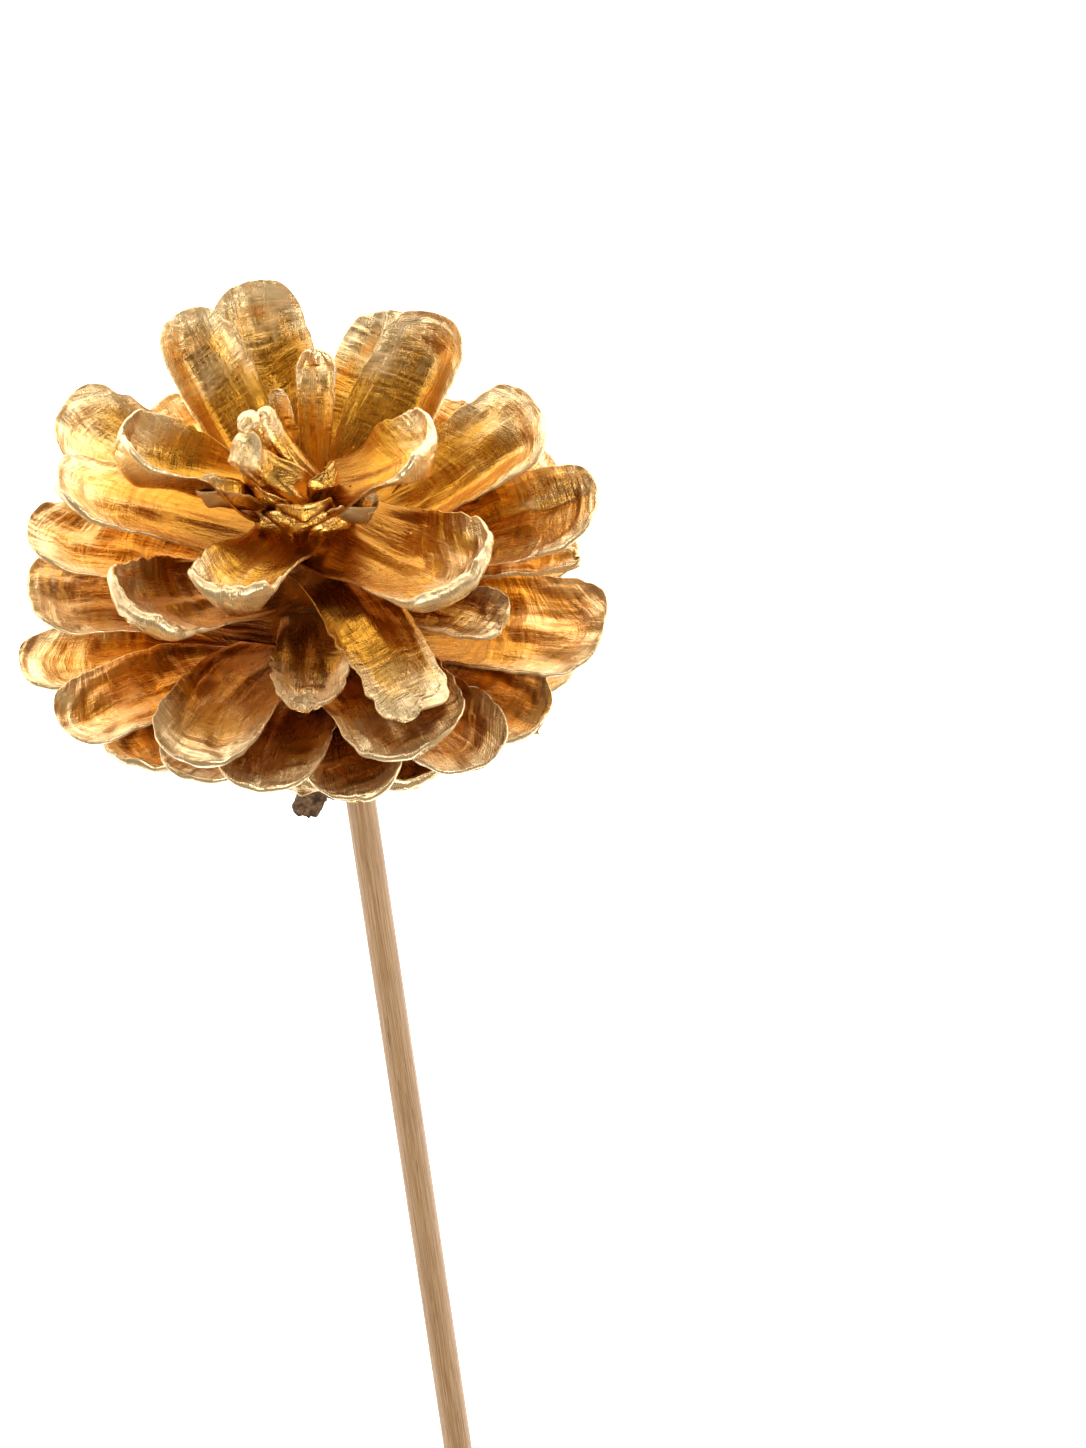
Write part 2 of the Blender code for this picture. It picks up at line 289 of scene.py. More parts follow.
class Unevenness:
    """Smooth random heights between -1 and 1 over a plane.

    Random numbers stand on a square lattice that repeats every LATTICE steps, and a height between them is
    their average, weighted by an eased distance.
    """

    LATTICE = 64

    def __init__(self, seed):
        self.random = np.random.default_rng(seed)
        self.layers = {}

    def __call__(self, layer, u, v):
        """Heights of a named layer at u and v, in lattice steps."""
        if layer not in self.layers:
            self.layers[layer] = self.random.uniform(-1.0, 1.0, (self.LATTICE, self.LATTICE))
        table = self.layers[layer]
        u, v = np.broadcast_arrays(u, v)
        column, row = np.floor(u).astype(int), np.floor(v).astype(int)
        across, up = ease(0.0, 1.0, u - column), ease(0.0, 1.0, v - row)
        left, right = column % self.LATTICE, (column + 1) % self.LATTICE
        low, high = row % self.LATTICE, (row + 1) % self.LATTICE
        lower = table[low, left] * (1.0 - across) + table[low, right] * across
        upper = table[high, left] * (1.0 - across) + table[high, right] * across
        return lower * (1.0 - up) + upper * up


def core_radius(height):
    """Radius of the core at a height."""
    heights, radii = zip(*CORE_OUTLINE)
    return np.interp(height, heights, radii)


def lying():
    """The turn that lays the cone down: azimuth 0 up, the tip to +Y, then the roll and the rise."""
    roll = Matrix.Rotation(math.radians(-UPPERMOST_AZIMUTH), 3, "Z")
    on_side = Matrix(((0, 1, 0), (0, 0, 1), (1, 0, 0)))
    rise = Matrix.Rotation(math.radians(LYING_RISE), 3, "X")
    return rise @ on_side @ roll


def cone_base():
    """Where the cone's base point lies. The middle of the stick's box is the stick's own middle."""
    low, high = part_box("stick")
    middle = Vector((*STICK_OFFSET, STICK_TOP - STICK_LENGTH / 2)) * MM
    return (low + high) / 2 - lying() @ middle


def laid_down(points):
    """Points in the cone's own millimetres, laid down in the frame's metres."""
    turn = np.array(lying())
    return points @ turn.T * MM + np.array(cone_base())


# Meshes ----------------------------------------------------------------------------------------------


def tube_faces(rows, columns):
    """Faces of a grid whose columns close on themselves, with a point added at each end to close it."""
    row, column = np.meshgrid(np.arange(rows - 1), np.arange(columns), indexing="ij")
    beside = (column + 1) % columns
    quads = np.stack((row * columns + column, (row + 1) * columns + column,
                      (row + 1) * columns + beside, row * columns + beside), axis=-1).reshape(-1, 4)
    column = np.arange(columns)
    beside = (column + 1) % columns
    first, last = rows * columns, rows * columns + 1
    start = np.stack((column, beside, np.full(columns, first)), axis=-1)
    end = np.stack((beside, column, np.full(columns, last)), axis=-1) + np.array(
        ((rows - 1) * columns, (rows - 1) * columns, 0))
    return quads, np.concatenate((start, end))


def closed_tube(grid):
    """Points and faces of a closed body from a grid of rings; each end closes in the middle of its ring."""
    rows, columns = grid.shape[:2]
    points = np.concatenate((grid.reshape(-1, 3), grid[:1].mean(axis=1), grid[-1:].mean(axis=1)))
    return points, tube_faces(rows, columns)


def closed_scale(grid):
    """As closed_tube, but the last ring is laced up from side to side, so that no point gathers at the tip.

    The lacing joins each point of the ring's right half to the one straight across from it.
    """
    rows, columns = grid.shape[:2]
    points, (quads, fans) = closed_tube(grid)
    half = columns // 2
    inner = half - WALL_COLUMNS
    right = (inner // 2 + np.arange(half)) % columns
    left = (inner - 1 - right) % columns
    lace = (rows - 1) * columns + np.stack((left[:-1], left[1:], right[1:], right[:-1]), axis=-1)
    return points[:-1], (np.concatenate((quads, lace)), fans[:columns])


def with_ends(values, laced=False):
    """Adds to each array of values the averages of its first and last ring, for the points that close them.

    A laced tip has no such point, so the last average is left out.
    """
    closed = {}
    for name, value in values.items():
        ends = [value[:1].mean(axis=1), value[-1:].mean(axis=1)][:1 if laced else 2]
        flat = value.reshape(value.shape[0] * value.shape[1], -1)
        closed[name] = np.concatenate([flat] + [end.reshape(1, -1) for end in ends])
    return closed


def joined(surfaces):
    """Points, faces and values of several closed tubes as one body of separate shells."""
    parts, used = [], 0
    for grid, values in surfaces:
        points, (quads, triangles) = closed_tube(grid)
        parts.append((points, quads + used, triangles + used, with_ends(values)))
        used += len(points)
    points, quads, triangles = (np.concatenate([part[i] for part in parts]) for i in range(3))
    noted = {name: np.concatenate([part[3][name] for part in parts]) for name in parts[0][3]}
    return points, (quads, triangles), noted


def make_mesh(name, points, faces):
    """A smooth mesh from an array of points and arrays of quads and triangles."""
    corners = np.concatenate([part.ravel() for part in faces])
    sizes = np.concatenate([np.full(len(part), part.shape[1]) for part in faces])
    mesh = bpy.data.meshes.new(name)
    mesh.vertices.add(len(points))
    mesh.vertices.foreach_set("co", points.astype(np.float32).ravel())
    mesh.loops.add(len(corners))
    mesh.loops.foreach_set("vertex_index", corners.astype(np.int32))
    mesh.polygons.add(len(sizes))
    mesh.polygons.foreach_set("loop_start", (np.cumsum(sizes) - sizes).astype(np.int32))
    mesh.update(calc_edges=True)
    mesh.shade_smooth()
    return mesh


def note_values(mesh, values):
    """Stores each named array on the mesh's points, as numbers or as vectors."""
    for name, value in values.items():
        vector = value.shape[-1] == 3
        attribute = mesh.attributes.new(name, "FLOAT_VECTOR" if vector else "FLOAT", "POINT")
        attribute.data.foreach_set("vector" if vector else "value", value.astype(np.float32).ravel())


def add_piece(name, mesh, material, node):
    """Links a finished mesh as the piece that stands for a CAD node."""
    mesh.materials.append(material)
    piece = bpy.data.objects.new(name, mesh)
    bpy.context.scene.collection.objects.link(piece)
    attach(piece, "root")
    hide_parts(node)
    return piece


# Scales ----------------------------------------------------------------------------------------------


class Scale:
    """One scale: a strap that widens, ends round and carries relief on both faces.

    Along runs from 0 at the root to 1 at the tip and across from -1 to 1 between the edges. A point has a
    distance along and a distance sideways in millimetres, and a height over the strap's middle line, whose
    slope grows evenly by curl degrees from the root to the tip. The notes on TIERS and ODD_SCALES tell what
    each value does.
    """

    def __init__(self, number, height, azimuth, lean, length, width, curl, cup=1.2, sweep=0.0, twist=0.0,
                 swell=TIP_SWELL, lip=TIP_LIFT, edges=(0.0, 0.0), trough=(0.0, 0.0, 0.3), torn=0.15,
                 root=ROOT_SHARE, square=TIP_SQUARENESS, rough=1.0):
        self.number, self.height, self.azimuth = number, height, math.radians(azimuth)
        self.lean, self.length, self.width = math.radians(lean), length, width
        self.curl, self.cup, self.sweep, self.twist = math.radians(curl), cup, sweep, math.radians(twist)
        self.swell, self.lip, self.edges, self.trough = swell, lip, edges, trough
        self.torn, self.root, self.square, self.rough = torn, root, square, rough
        self.uneven = Unevenness(number)

    def layer(self, name, u, v):
        """A layer of unevenness: its strength times its random heights, at its own fineness."""
        strength, u_steps, v_steps = LAYERS[name]
        return strength * self.uneven(name, u * u_steps, v * v_steps)

    def stations(self, spacing):
        """Places along the scale, and how far round the tip each is, from 0 to nearly a quarter turn.

        They stand evenly along the strap, then at even angles round the tip.
        """
        straight = np.linspace(
            0.0, WIDEST, max(FEWEST_STATIONS, round(self.length * WIDEST / spacing)), endpoint=False)
        tip_arc = 0.5 * math.pi * (self.width / 2 + self.length * (1 - WIDEST)) / 2
        bend = np.linspace(0.0, TIP_TURN, max(FEWEST_TIP_STATIONS, round(tip_arc / spacing)))
        rounding = np.sin(bend) ** (2.0 / self.square)
        along = np.concatenate((straight, WIDEST + (1.0 - WIDEST) * rounding))
        return along[:, None], np.concatenate((np.zeros(len(straight)), bend))[:, None]

    def widening(self, along):
        """Share of the full width: the root's share at first, all of it from two thirds of the way on."""
        return self.root + (1.0 - self.root) * ease(-0.1, 0.66, along)

    def half_width(self, along, bend, side):
        """Half the width at a station: a smooth widening, closed by the round tip, with an uneven edge."""
        width = 0.5 * self.width * self.widening(along) * np.cos(bend) ** (2.0 / self.square)
        wander = 0.05 * self.uneven("outline", along * 5.0, side * 9.3 + 20.0)
        nicks = (0.022 + 0.03 * self.torn) * self.uneven("nicks", along * 24.0, side * 5.1 + 20.0)
        return width * (1.0 + wander * ease(0.1, 0.3, along) + nicks * ease(0.3, 0.5, along))

    def inset(self, across, along, bend):
        """Distance from the outline: what is missing from the round of the tip, times half the width."""
        sideways = np.abs(across) * np.cos(bend) ** (2.0 / self.square)
        forward = ((along - WIDEST) / (1.0 - WIDEST)).clip(0.0)
        reach = (sideways**self.square + forward**self.square) ** (1.0 / self.square)
        return (1.0 - reach).clip(0.0) * 0.5 * self.width * self.widening(along)

    def relief(self, x, y, along, inset, settings):
        """Height of the inner face's own detail.

        A hollow where the seeds lay ends in a raised border along the edge and the tip. Between them runs a
        low ridge. Lengthwise wrinkles follow the grain, dents crumple the outer half, creases cross the rim
        and the whole face waves a little.
        """
        wave = self.layer("wave", x, y) * ease(0.1, 0.5, along)
        border = 0.4 + 1.6 * ease(0.6, 0.95, along) * (1.0 + self.layer("border", x, y))
        hollow = -HOLLOW_DEPTH * ease(border, border + 1.5, inset) * ease(0.08, 0.3, along)
        ridge_place = 0.8 * self.uneven("ridge", y * 0.08, 0.5)
        ridge_ends = ease(0.05, 0.3, along) * (1.0 - ease(0.5, 0.85, along))
        ridge = RIDGE_HEIGHT * hump(ridge_place, 0.9, x) * ridge_ends
        bent = x + self.layer("bend", x, y)
        patchy = 0.35 + 0.65 * ease(-0.3, 0.5, self.layer("patch", x, y))
        grain = 1.0 - 2.0 * np.abs(self.layer("grain", bent, y))
        fine = self.layer("fine grain", bent, y)
        wrinkles = settings.wrinkle_depth / MM * patchy * (0.7 * grain + 0.45 * fine)
        dents = settings.dent_depth / MM * self.layer("dents", x, y) * ease(0.2, 0.7, along)
        turn = np.arctan2(x, np.maximum(y - WIDEST * self.length, 0.05) + 1.0)
        near_rim = np.exp(-inset / 1.6) * ease(0.7, 0.9, along)
        creases = self.layer("creases", turn, inset) * near_rim
        arched = self.feather(x, y)
        folds = 1.0 - 2.0 * np.abs(self.layer("folds", x, arched)) + self.layer("finer folds", x, arched)
        arcs = settings.fold_depth / MM * folds * ease(0.25, 0.6, along)
        return wave + hollow + ridge + self.rough * (wrinkles + dents + creases + arcs * (1.4 - patchy))

    def feather(self, x, y):
        """A distance along the scale that bends and wanders: lines of equal value are arcs across it."""
        return y + 0.05 * x**2 + 2.6 * self.uneven("feather", x * 0.13 + 7.0, y * 0.1 + 7.0)

    def upper_face(self, across, along, x, inset):
        """Height of the inner face before its detail.

        A cup that deepens with the square of the distance from the middle, a tip that turns up, edges that
        stand up and wave, a lengthwise trough, and a raised rim along the outline.
        """
        cup = self.cup * ease(0.1, 0.6, along) * (2.0 * x / self.width) ** 2
        lip = self.lip * ease(0.8, 1.02, along) ** 1.5
        left, right = self.edges
        turned = left * ease(0.45, 1.0, -across) + right * ease(0.45, 1.0, across)
        place, depth, breadth = self.trough
        trough_ends = ease(0.1, 0.35, along) * (1.0 - ease(0.82, 0.99, along))
        valley = -depth * hump(place, breadth, across) * trough_ends
        wave = 0.45 * self.uneven("edge wave", along * 4.0, np.sign(across) * 3.0 + 20.0)
        edge = self.rough * np.abs(across) ** 3 * wave * ease(0.2, 0.6, along)
        wobble = 1.0 + self.rough * self.layer("lip", x, along)
        rim = RIM_HEIGHT * wobble * np.exp(-((inset / 0.45) ** 2)) * ease(0.55, 0.85, along)
        return cup + lip + turned * ease(0.15, 0.5, along) + valley + edge + rim

    def thickness(self, across, along, bend):
        """How thick the scale is: less thick along its sides, swollen at its tip."""
        thinning = across**2 * np.cos(bend)
        swell = self.swell * ease(0.6, 0.92, along) * (1.0 - 0.35 * thinning)
        return THICKNESS * (1.0 - 0.6 * thinning * (1.0 - 0.7 * ease(0.6, 0.9, along))) + swell

    def lower_detail(self, x, y, along):
        """Relief of the outer face: ribs along it, a keel across the swollen tip and its small boss."""
        ribs = self.layer("ribs", x, y) + self.layer("fine ribs", x, y)
        past_boss = y - BOSS_PLACE * self.length
        keel_ends = 1.0 - ease(0.25, 0.5, np.abs(x) / self.width)
        keel = KEEL_HEIGHT * hump(0.0, 0.9, past_boss + 0.02 * x**2) * keel_ends
        boss = BOSS_HEIGHT * hump(0.0, 0.75, np.hypot(x * 0.8, past_boss))
        dents = self.layer("outer dents", x, y) * ease(0.5, 0.8, along)
        folds = 0.14 * self.uneven("outer folds", x * 1.1 + 0.1 * y, y * 0.25) * ease(0.7, 0.9, along)
        return ribs + keel + boss + dents + folds

    def place(self, forward, sideways, height):
        """Points in the cone's axes from distances along the scale, sideways and up from its middle line.

        The middle line is an arc that leaves the core at the scale's root. Twist turns the strap about it and
        sweep carries it sideways with the square of the distance along.
        """
        along = forward / self.length
        start = self.lean - self.curl / 2
        slope = start + self.curl * along
        out = self.length / self.curl * (np.sin(slope) - math.sin(start))
        rise = self.length / self.curl * (math.cos(start) - np.cos(slope))
        turn = self.twist * along
        shifted = sideways * np.cos(turn) - height * np.sin(turn) + self.sweep * np.abs(along) * along
        raised = sideways * np.sin(turn) + height * np.cos(turn)
        radius = core_radius(self.height) + GAP + out - raised * np.sin(slope)
        level = self.height + rise + raised * np.cos(slope)
        x = radius * math.cos(self.azimuth) - shifted * math.sin(self.azimuth)
        y = radius * math.sin(self.azimuth) + shifted * math.cos(self.azimuth)
        return np.stack((x, y, level), axis=-1)

    def surface(self, settings):
        """The closed surface as rings of points, and the values that its finish reads.

        A ring runs over the inner face, round one edge, back over the outer face and round the other edge.
        The outer face lies a thickness below the inner one and repeats a share of its detail.
        """
        spacing = settings.spacing / MM
        along, bend = self.stations(spacing)
        columns = 2 * max(FEWEST_COLUMNS, round(self.width / (spacing * COLUMN_SPREAD)))
        even = np.linspace(-1.0, 1.0, columns)[None, :]
        across = (1.0 - EDGE_CROWDING) * even + EDGE_CROWDING * np.sin(even * math.pi / 2)
        half = np.where(across < 0, self.half_width(along, bend, -1.0), self.half_width(along, bend, 1.0))
        x = across * half
        tear = self.torn * self.uneven("tear", across * 2.6 + 9.0, 0.5)
        splinters = 0.5 * self.torn * self.uneven("splinters", across * 7.0 + 9.0, 0.5)
        sunk = ROOT_SUNK * (1.0 - ease(0.0, 0.12, along))
        y = along * self.length - sunk + (tear + splinters) * ease(0.8, 1.0, along)
        inset = self.inset(across, along, bend)
        face = self.upper_face(across, along, x, inset)
        detail = self.relief(x, y, along, inset, settings)
        thick = self.thickness(across, along, bend)
        below = self.lower_detail(x, y, along) * (1.0 - np.abs(across) ** 6)
        # The very first ring, inside the core, repeats all of the detail
        repeated = detail * np.where(along > 0.0, DETAIL_BELOW, 1.0)
        under = UNDERCUT * ease(0.6, 0.9, along)
        x_low = x * (1.0 - under * np.cos(bend) / np.maximum(half, 1.0))
        y_low = y - under * np.sin(bend)
        upper = np.stack((y, x, face + detail), axis=-1)
        lower = np.stack((y_low, x_low, face + repeated - thick - below), axis=-1)

        wall = np.linspace(0.0, 1.0, 2 + WALL_COLUMNS)[None, 1:-1]
        rounding = (0.12 + 0.1 * self.swell) * np.sin(math.pi * wall**0.8)
        bulge = rounding * thick[:, -1:] * ease(0.3, 0.8, along)

        def edge(column, sign):
            """The rounded wall from the inner face to the outer one along one edge."""
            start, end = upper[:, column, None], lower[:, column, None]
            outward = np.stack((np.sin(bend) * bulge, sign * np.cos(bend) * bulge, 0.0 * bulge), axis=-1)
            return start + (end - start) * wall[..., None] + outward

        ring = np.concatenate((upper, edge(-1, 1.0), lower[:, ::-1], edge(0, -1.0)[:, ::-1]), axis=1)
        grid = self.place(ring[..., 0], ring[..., 1], ring[..., 2])
        return grid, self.finish_values(ring, along, inset, detail)

    def finish_values(self, ring, along, inset, detail):
        """What the finish reads at each point of the rings.

        The place along the scale, the distance in from the outline, how far the point belongs to the inner
        face or to the rim, the height of its detail, and two sets of distances for patterns that follow the
        grain or cross it in arcs.
        """
        walls = (len(ring), WALL_COLUMNS)

        def around(inner, wall, outer):
            """One value for every point of the rings, from its values on the faces and the walls."""
            wall = np.broadcast_to(wall, walls)
            outer = np.broadcast_to(outer, detail.shape)[:, ::-1]
            return np.concatenate((np.broadcast_to(inner, detail.shape), wall, outer, wall), axis=1)

        forward, sideways = ring[..., 0], ring[..., 1]
        apart = np.full(forward.shape, float(self.number))
        # The rim's pale painted highlight grows towards the tip and is fainter on narrow scales, whose pale
        # painted border is also narrower
        rim_strength = ease(0.1, 0.6, along) * min(1.0, self.width / RIM_WIDTH)
        return {
            "along": around(along, along, along),
            "inset": around(inset * max(1.0, BORDER_WIDTH / self.width), 0.0, inset),
            "inner": around(1.0, 0.0, 0.0),
            "rim": around(0.0, 1.0, 0.0) * rim_strength,
            "detail": around(detail, 0.0, 0.0),
            "grain": np.stack((sideways, forward, apart * 7.3), axis=-1),
            "feather": np.stack((sideways, self.feather(sideways, forward), apart * 5.1), axis=-1),
        }


def bud_finger(line, uneven):
    """A finger of the bud: rings carried along its middle line, pushed in and out by lumps and flats.

    The middle line is the smooth curve through the given points, and the radius changes evenly from one to
    the next. The inner half has faint ribs and wanders, the outer half is a lumpy knob that closes round.
    """
    knots = np.array(line)
    turns = ring_turns(96)
    place = np.linspace(0.0, 1.0, 110)
    marks = np.linspace(0.0, 1.0, len(knots))
    smooth = np.polynomial.polynomial.polyfit(marks, knots, len(knots) - 1)
    middle = np.polynomial.polynomial.polyval(place, smooth).T
    middle[:, 3] = np.interp(place, marks, knots[:, 3])
    heading = np.gradient(middle[:, :3], axis=0)
    heading /= np.linalg.norm(heading, axis=1, keepdims=True)
    aside = np.cross(heading, (1.0, 0.0, 0.0))
    aside /= np.linalg.norm(aside, axis=1, keepdims=True)
    across = np.cross(aside, heading)
    u, v = np.cos(turns), np.sin(turns)
    place = place[:, None]
    flats = np.abs(uneven("flats", 1.2 * u + 4.0 * place + 9.0, 1.2 * v - 4.0 * place + 9.0))
    pits = uneven("pits", 1.7 * u + 9.0 * place + 20.0, 1.7 * v - 7.0 * place + 20.0)
    ribs = uneven("ribs", 3.5 * u + 9.0, 3.5 * v + 1.5 * place + 9.0)
    knob = ease(0.5, 0.85, place)
    wobble = uneven("wobble", 0.8 * u + 5.0, 0.8 * v + 3.0 * place + 5.0)
    lumpy = 1.0 + knob * (0.14 - 0.5 * flats + 0.16 * pits) + (1.0 - knob) * (0.08 * ribs + 0.16 * wobble)
    closing = np.sqrt(1.0 - ease(0.86, 1.02, place) ** 2)
    radius = middle[:, 3:] * lumpy * closing
    grid = middle[:, None, :3] + radius[..., None] * (
        u[..., None] * across[:, None] + v[..., None] * aside[:, None])
    # The finish reads these as painted light: a low along gives painted shade towards the root, and rim and
    # detail give a pale painted highlight on the lumpy knobs and their crests
    values = {
        "along": 0.2 + 0.6 * ease(0.3, 0.75, place) + 0.0 * turns,
        "inset": 0.3 + 1.8 * flats,
        "inner": np.zeros(flats.shape),
        "rim": knob * (0.55 + 0.5 * pits),
        "detail": 0.3 - 0.6 * flats,
        "grain": grid * np.array((0.5, 2.5, 0.5)),
        "feather": grid,
    }
    return grid, values


def all_scales():
    """Every scale, numbered tier by tier."""
    number = 0
    for tier in TIERS:
        usual = {key: tier[key] for key in ("lean", "length", "width", "curl")}
        for height, azimuth in tier["roots"]:
            number += 1
            yield Scale(number, height, azimuth, **{**usual, **ODD_SCALES.get(number, {})})


# Core, stick and stump -------------------------------------------------------------------------------


def core_grid():
    """Rings of the core: first the hole's, from its inner end down to the foot, then the outside's, upwards.

    The outside follows the core's outline, pushed in and out by scars and fibres that fade at their seam. The
    hole is a plain cylinder round the stick's middle line.
    """
    turns = ring_turns(160)
    foot = CORE_OUTLINE[0][0]
    hole = np.linspace(STICK_TOP + GAP, foot, 24)[:, None]
    levels = np.concatenate((hole, np.linspace(foot, CORE_TOP, 150)[:, None]))
    inside = np.arange(len(levels))[:, None] < len(hole)
    uneven = Unevenness(CORE_SEED)
    scars = 0.28 * uneven("scars", turns * 9 / math.pi, levels * 0.5)
    fibres = 0.16 * uneven("fibres", turns * 20 / math.pi, levels * 0.3)
    near_seam = from_seam(turns) < math.pi / 4
    fade = np.where(near_seam, 0.5 - 0.5 * np.cos(from_seam(turns) * 4), 1.0)
    radius = np.where(inside, STICK_RADIUS + GAP, core_radius(levels) + (scars + fibres) * fade)
    x = np.where(inside, STICK_OFFSET[0], 0.0) + radius * np.cos(turns)
    y = np.where(inside, STICK_OFFSET[1], 0.0) + radius * np.sin(turns)
    return np.stack((x, y, levels + 0.0 * turns), axis=-1)[:, ::-1]


def stick_grid():
    """Rings of the stick, and the place of each point along and round the strands of its bamboo.

    A nearly round rod, slightly flattened and with fine ribs along it, whose ends have a small round bevel.
    """
    turns = ring_turns(96)
    bottom = STICK_TOP - STICK_LENGTH
    edge = np.array((0.0, 0.5 * STICK_BEVEL, STICK_BEVEL))
    shaft = np.linspace(bottom + 1.0, STICK_TOP - 1.0, 260)
    levels = np.concatenate((bottom + edge, shaft, STICK_TOP - edge[::-1]))[:, None]
    from_end = np.minimum(levels - bottom, STICK_TOP - levels)
    short_of_bevel = (1.0 - from_end / STICK_BEVEL).clip(0.0, 1.0)
    rounded = STICK_BEVEL * (1.0 - np.sqrt(1.0 - short_of_bevel**2))
    uneven = Unevenness(STICK_SEED)
    around = turns * 40 / (2 * math.pi)
    fibres = 0.028 * uneven("fibres", around, levels * 0.012)
    strands = 0.02 * uneven("strands", around * 0.4, levels * 0.01)
    ribs = (fibres + strands) * ease(0.0, 0.5, from_seam(turns))
    flattened = STICK_FLATTENING * np.cos(2 * turns + 0.01 * levels)
    radius = STICK_RADIUS - rounded - STICK_FLATTENING + ribs + flattened
    x = STICK_OFFSET[0] + radius * np.cos(turns)
    y = STICK_OFFSET[1] + radius * np.sin(turns)
    level = levels + 0.0 * turns
    grid = np.stack((x, y, level), axis=-1)
    spread = 3.0 * STICK_RADIUS + 0.0 * levels
    strand = np.stack((spread * np.cos(turns), level, spread * np.sin(turns)), axis=-1)
    return grid[:, ::-1], strand[:, ::-1]


def stump_grid():
    """Rings of the stump: a short slanting stub, narrower at its end, with a crust and a splintered break."""
    turns = ring_turns(96)
    along = np.linspace(0.0, 1.0, 60)[:, None]
    uneven = Unevenness(STUMP_SEED)
    u, v = np.cos(turns), np.sin(turns)
    crust = 0.3 * uneven("crust", 3.0 * u + 9.0, 3.0 * v + 7.0 * along + 9.0)
    flakes = 0.16 * uneven("flakes", 8.0 * u + 12.0, 8.0 * v + 15.0 * along + 12.0)
    radius = STALK_RADIUS * (1.0 - 0.12 * along) * (1.0 - ease(0.97, 1.04, along)) + crust + flakes
    splinters = 0.5 * uneven("splinters", 6.0 * u + 9.0, 6.0 * v + 9.0) * ease(0.6, 1.0, along)
    foot, end = np.array(STALK_FOOT), np.array(STALK_END)
    centre = foot + (end - foot) * along[..., None]
    return np.stack((centre[..., 0] + radius * u, centre[..., 1] + radius * v, centre[..., 2] + splinters),
                    axis=-1)


# Finishes --------------------------------------------------------------------------------------------


class Wire:
    """A node's output as a number in an expression. Each sum, difference or product adds a Math node."""

    def __init__(self, sheet, socket):
        self.sheet, self.socket = sheet, socket

    def maths(self, operation, *values, clamp=False):
        """A Math node of that operation on these values."""
        return self.sheet.node("ShaderNodeMath", {"operation": operation, "use_clamp": clamp},
                               dict(enumerate(values)))

    def __add__(self, other):
        return self.maths("ADD", self, other)

    def __sub__(self, other):
        return self.maths("SUBTRACT", self, other)

    def __rsub__(self, other):
        return self.maths("SUBTRACT", other, self)

    def __mul__(self, other):
        return self.maths("MULTIPLY", self, other)

    __radd__ = __add__
    __rmul__ = __mul__

    def clamped(self):
        """The value held between 0 and 1."""
        return self.maths("ADD", self, 0.0, clamp=True)

    def between(self, low, high):
        """0 below low and 1 above high, with a smooth rise between."""
        settings = {"interpolation_type": "SMOOTHSTEP"}
        sockets = {"Value": self, "From Min": low, "From Max": high}
        return self.sheet.node("ShaderNodeMapRange", settings, sockets)


class Finish:
    """A material's sheet of nodes."""

    def __init__(self, name):
        self.material = bpy.data.materials.new(name)
        self.material.use_nodes = True
        self.tree = self.material.node_tree
        self.shader = self.tree.nodes["Principled BSDF"]

    def set_socket(self, socket, value):
        """Links a wire to a socket, or writes a plain value into it."""
        if isinstance(value, Wire):
            self.tree.links.new(value.socket, socket)
        elif hasattr(value, "__len__") and len(value) == 3 and len(socket.default_value) == 4:
            socket.default_value = (*value, 1.0)
        else:
            socket.default_value = value

    def node(self, kind, settings, sockets, output=0):
        """Any node, from its type, its settings and its sockets' values or links. Returns one output."""
        made = self.tree.nodes.new(kind)
        for name, value in settings.items():
            setattr(made, name, value)
        for name, value in sockets.items():
            self.set_socket(made.inputs[name], value)
        return Wire(self, made.outputs[output])

    def noted(self, name, vector=False):
        """A value that the mesh carries."""
        return self.node("ShaderNodeAttribute", {"attribute_name": name}, {}, "Vector" if vector else "Fac")

    def place(self):
        """Object coordinates in millimetres."""
        where = self.node("ShaderNodeTexCoord", {}, {}, "Object")
        return self.stretched(where, (1000.0, 1000.0, 1000.0))

    def stretched(self, vector, factors):
        """A vector multiplied, direction by direction."""
        return self.node("ShaderNodeVectorMath", {"operation": "MULTIPLY"}, {0: vector, 1: factors})

    def noise(self, vector, scale, detail=3.0, roughness=0.55, distortion=0.0):
        """Smooth noise around 0.5."""
        sockets = {"Vector": vector, "Scale": scale, "Detail": detail, "Roughness": roughness,
                   "Distortion": distortion}
        return self.node("ShaderNodeTexNoise", {}, sockets)

    def cells(self, vector, scale):
        """Distance to the nearest of many scattered points."""
        return self.node("ShaderNodeTexVoronoi", {}, {"Vector": vector, "Scale": scale}, "Distance")

    def blend(self, factor, first, second):
        """A colour between two colours."""
        return self.node("ShaderNodeMix", {"data_type": "RGBA"}, {0: factor, 6: first, 7: second}, 2)

    def bump(self, height, distance):
        """A bumped normal from a height between 0 and 1 and the depth in metres that it stands for."""
        return self.node("ShaderNodeBump", {}, {"Height": height, "Distance": distance})

    def finish(self, **sockets):
        """Writes the shader's sockets, named with _ for a space, and returns the material."""
        for name, value in sockets.items():
            self.set_socket(self.shader.inputs[name.replace("_", " ")], value)
        return self.material


